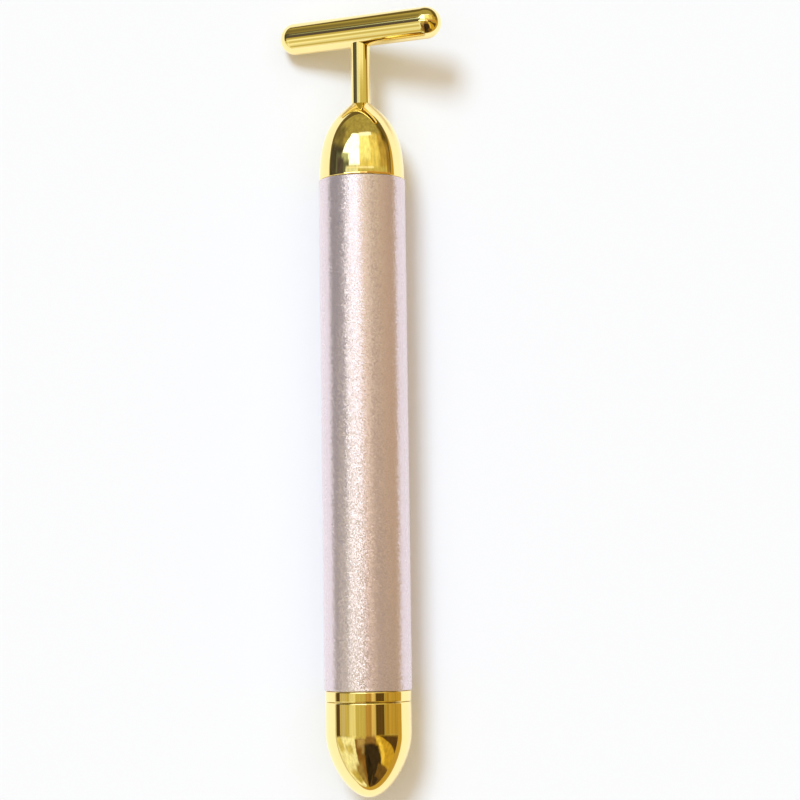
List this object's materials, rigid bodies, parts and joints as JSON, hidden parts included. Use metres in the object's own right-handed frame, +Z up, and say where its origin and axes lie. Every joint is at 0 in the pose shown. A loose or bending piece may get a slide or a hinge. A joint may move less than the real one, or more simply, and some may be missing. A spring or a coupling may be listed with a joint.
{
  "type": "vibrating beauty bar",
  "caption": "Handheld vibrating beauty bar: gold T-shaped massage head on a thin stem, gold dome, satin pink tube handle and gold bullet tail cap that twists to switch it.",
  "frame": {"origin": "on the surface it lies on, under the middle of the whole's length and width", "axes": "+Y along the handle towards the head, +Z up; as it rests, rolled so that the massage bar's -X end meets the surface and its +X end stands up, 21.7 degrees from X about Y"},
  "size_m": [0.033, 0.1532, 0.017],
  "materials": {
    "gold_plate": "mirror gold plating",
    "pink_anodised": "fine blasted satin, rose-pink anodised",
    "white_plastic": "moulded matt",
    "black_plastic": "moulded matt",
    "red_plastic": "wire insulation",
    "steel": "bright drawn",
    "ferrite": "sintered dark",
    "bronze": "sintered, oiled",
    "copper": "enamelled and bare copper",
    "brass": "turned",
    "cell_metal": null,
    "cell_film": "shrunk film, plain",
    "rubber": "matt"
  },
  "bodies": {
    "root": {"head_bar": "gold_plate", "head_stem": "gold_plate", "head_dome": "gold_plate", "stem_washer": "steel", "stem_nut": "brass", "motor_holder": "white_plastic", "motor_can": "steel", "motor_front_bush": "bronze", "motor_end_cap": "white_plastic", "motor_rear_bush": "bronze", "magnet_left": "ferrite", "magnet_right": "ferrite", "brush_negative": "copper", "brush_positive": "copper", "contact_carrier": "white_plastic", "positive_contact": "brass", "ground_clip": "brass", "lead_positive": "red_plastic", "lead_negative": "black_plastic", "handle_tube": "pink_anodised", "battery_liner": "white_plastic", "tail_collar": "gold_plate"},
    "rotor": {"motor_shaft": "steel", "armature_core": "steel", "winding_1": "copper", "winding_2": "copper", "winding_3": "copper", "commutator": "copper", "eccentric_weight": "steel"},
    "battery": {"cell_can": "cell_metal", "cell_wrap": "cell_film", "cell_washer": "black_plastic", "cell_positive_cap": "cell_metal"},
    "contact_disc": {"contact_disc": "brass"},
    "screw_cap": {"tail_cap": "gold_plate", "cap_insert": "brass", "cap_seal": "rubber", "insert_screw": "steel", "negative_spring": "steel"}
  },
  "joints": [
    {"name": "motor_spin", "type": "hinge", "parent": "root", "child": "rotor", "pos_m": [0, 0.03, 0.0085], "axis": [0, 1, 0], "continuous": true},
    {"name": "battery_out", "type": "slide", "parent": "root", "child": "battery", "axis": [0, -1, 0], "range_m": [0, 0.064]},
    {"name": "tail_travel", "type": "slide", "parent": "battery", "child": "contact_disc", "axis": [0, -1, 0], "range_m": [0, 0.0048]},
    {"name": "tail_turn", "type": "hinge", "parent": "contact_disc", "child": "screw_cap", "pos_m": [0, -0.06, 0.0085], "axis": [0, -1, 0], "range_deg": [0, 1439.9]}
  ],
  "couplings": [
    {"joint": "tail_travel", "follows": "tail_turn", "m_per_rad": 0.00019099}
  ]
}
